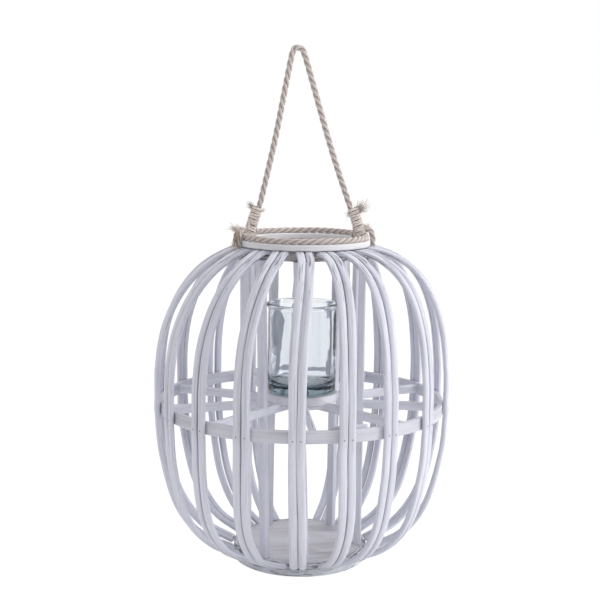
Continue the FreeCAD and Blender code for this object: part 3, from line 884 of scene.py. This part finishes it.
# The profile, radius and height, runs from under the base out and up the wall, over the lip and
# down inside to the middle of the floor
top = GLASS_Z + GLASS_H
bed = GLASS_Z + GLASS_FLOOR
inner = GLASS_R - GLASS_WALL
profile = curve_through(np.array([
    (2, GLASS_Z), (30, GLASS_Z), (40, GLASS_Z), (44, GLASS_Z + 0.9), (45.6, GLASS_Z + 3),
    (GLASS_R, GLASS_Z + 6.5), (GLASS_R, GLASS_Z + 30), (GLASS_R, top - 40), (GLASS_R, top - LIP_H - 3),
    (46.5, top - LIP_H + 0.6), (48.3, top - LIP_H + 2), (LIP_R, top - 3), (48.4, top - 1.2),
    (46.9, top - 0.1), (45, top), (43.6, top - 1.2), (43.2, top - 5), (inner, top - 12),
    (inner, top - 40), (inner, bed + 26), (inner - 0.2, bed + 9), (inner - 2.2, bed + 3),
    (inner - 8, bed + 0.4), (24, bed - 0.4), (2, bed - 0.8)]), PROFILE_COUNT)
# The inner wall waves by three sines of the turn, which shift with the height; the waves fade out
# at the floor and at the lip
turn = np.linspace(0, 2 * np.pi, 128, endpoint=False)
r, z = profile[:, :1], profile[:, 1:]
fade = np.clip((z - GLASS_Z - 10) / 14, 0, 1) * np.clip((top - 6 - z) / 14, 0, 1)
inside = (np.arange(PROFILE_COUNT) > INSIDE_FROM)[:, None] * fade
twist = (z - GLASS_Z) / GLASS_H
wave = (np.sin(5 * turn + 2.6 * twist + 0.4) + 0.7 * np.sin(8 * turn - 4.0 * twist + 1.9)
        + 0.5 * np.sin(3 * turn + 7 * twist))
r = r + WAVE * inside * wave
cup_grid = np.stack([r * np.sin(turn), -r * np.cos(turn), z + 0 * turn], -1)
piece("glass_tumbler", [cup_grid], green_glass, "clear_glass", "glass", "glass_cup")


# Setting: a plain white floor in a white room, with soft light that is brighter from the right
# front. Both look white to the eye, in a reflection and through glass, and the floor keeps a trace
# of the lantern's shadow.
FLOOR_HALF = 15
FLOOR_GLOW = 0.88
FLOOR_WHITE = 1.09
# How bright the room is towards the front and towards the back
ROOM_FRONT = 0.48
ROOM_BACK = 0.95


def seen_white(tree):
    """1 for a ray from the camera, off a glossy surface or through glass, and 0 for other light."""
    rays = add(tree, "LightPath")
    eye = add(tree, "Math", {0: rays.outputs["Is Camera Ray"], 1: rays.outputs["Is Glossy Ray"]},
              operation="MAXIMUM")
    either = add(tree, "Math", {0: eye.outputs[0], 1: rays.outputs["Is Transmission Ray"]},
                 operation="MAXIMUM")
    return either.outputs[0]


# Matt white paint that glows to those rays, so that it looks as white as the room
floor_paint = bpy.data.materials.new("white_studio_floor")
floor_paint.use_nodes = True
tree = floor_paint.node_tree
share = add(tree, "Math", {0: seen_white(tree), 1: FLOOR_GLOW}, operation="MULTIPLY")
plain = add(tree, "BsdfDiffuse", {"Color": linear("#f6f6f6")})
white = add(tree, "Emission", {"Color": (1, 1, 1, 1), "Strength": FLOOR_WHITE})
both = add(tree, "MixShader", {0: share.outputs[0], 1: plain.outputs[0], 2: white.outputs[0]})
tree.links.new(both.outputs[0], tree.nodes["Material Output"].inputs["Surface"])
floor_mesh = bpy.data.meshes.new("floor")
floor_mesh.from_pydata([(-FLOOR_HALF, -FLOOR_HALF, 0), (FLOOR_HALF, -FLOOR_HALF, 0),
                        (FLOOR_HALF, FLOOR_HALF, 0), (-FLOOR_HALF, FLOOR_HALF, 0)], [], [(0, 1, 2, 3)])
floor_mesh.materials.append(floor_paint)
floor = bpy.data.objects.new("floor", floor_mesh)
bpy.context.scene.collection.objects.link(floor)

world = bpy.data.worlds.new("soft_white_room")
bpy.context.scene.world = world
world.use_nodes = True
tree = world.node_tree
tree.nodes.clear()
toward = add(tree, "SeparateXYZ", {0: add(tree, "TexCoord").outputs["Generated"]})
room = add(tree, "MapRange", {"Value": toward.outputs["Y"], "From Min": -0.8, "From Max": 0.8,
                              "To Min": ROOM_FRONT, "To Max": ROOM_BACK})
level = add(tree, "Mix", {0: seen_white(tree), 2: room.outputs[0], 3: 1.0})
sky = add(tree, "Background", {"Color": (1, 1, 1, 1), "Strength": level.outputs[0]})
add(tree, "OutputWorld", {"Surface": sky.outputs[0]})

# Each lamp's name, place in metres, power in watts and width, all aimed at the middle of the cage
LAMPS = (("key_light", (3.0, -0.8, 1.4), 50, 1.4), ("fill_light", (-2.0, -2.0, 1.2), 2, 1.8),
         ("top_light", (0.2, 0.6, 2.6), 12, 1.6))
CAGE_MIDDLE = (0, 0, 0.25)

for name, place, watts, size in LAMPS:
    lamp = bpy.data.lights.new(name, "AREA")
    lamp.energy = watts
    lamp.size = size
    light = bpy.data.objects.new(name, lamp)
    bpy.context.scene.collection.objects.link(light)
    light.location = place
    light.rotation_mode = "QUATERNION"
    aim = np.array(CAGE_MIDDLE) - place
    light.rotation_quaternion = Vector(aim).to_track_quat("-Z", "Y")

# The camera was fitted to the rims of the three hoops in the photograph
TILT = 81.47
ROLL = 0.67

lens = bpy.data.cameras.new("camera")
lens.sensor_width = 36
lens.lens = 71.04
lens.shift_x = -0.0042
camera = bpy.data.objects.new("camera", lens)
bpy.context.scene.collection.objects.link(camera)
camera.location = (0, -1.5717, 0.5892)
camera.rotation_mode = "QUATERNION"
camera.rotation_quaternion = (Quaternion((1, 0, 0), np.radians(TILT))
                              @ Quaternion((0, 0, 1), np.radians(ROLL)))
bpy.context.scene.camera = camera
bpy.context.scene.view_settings.view_transform = "Standard"
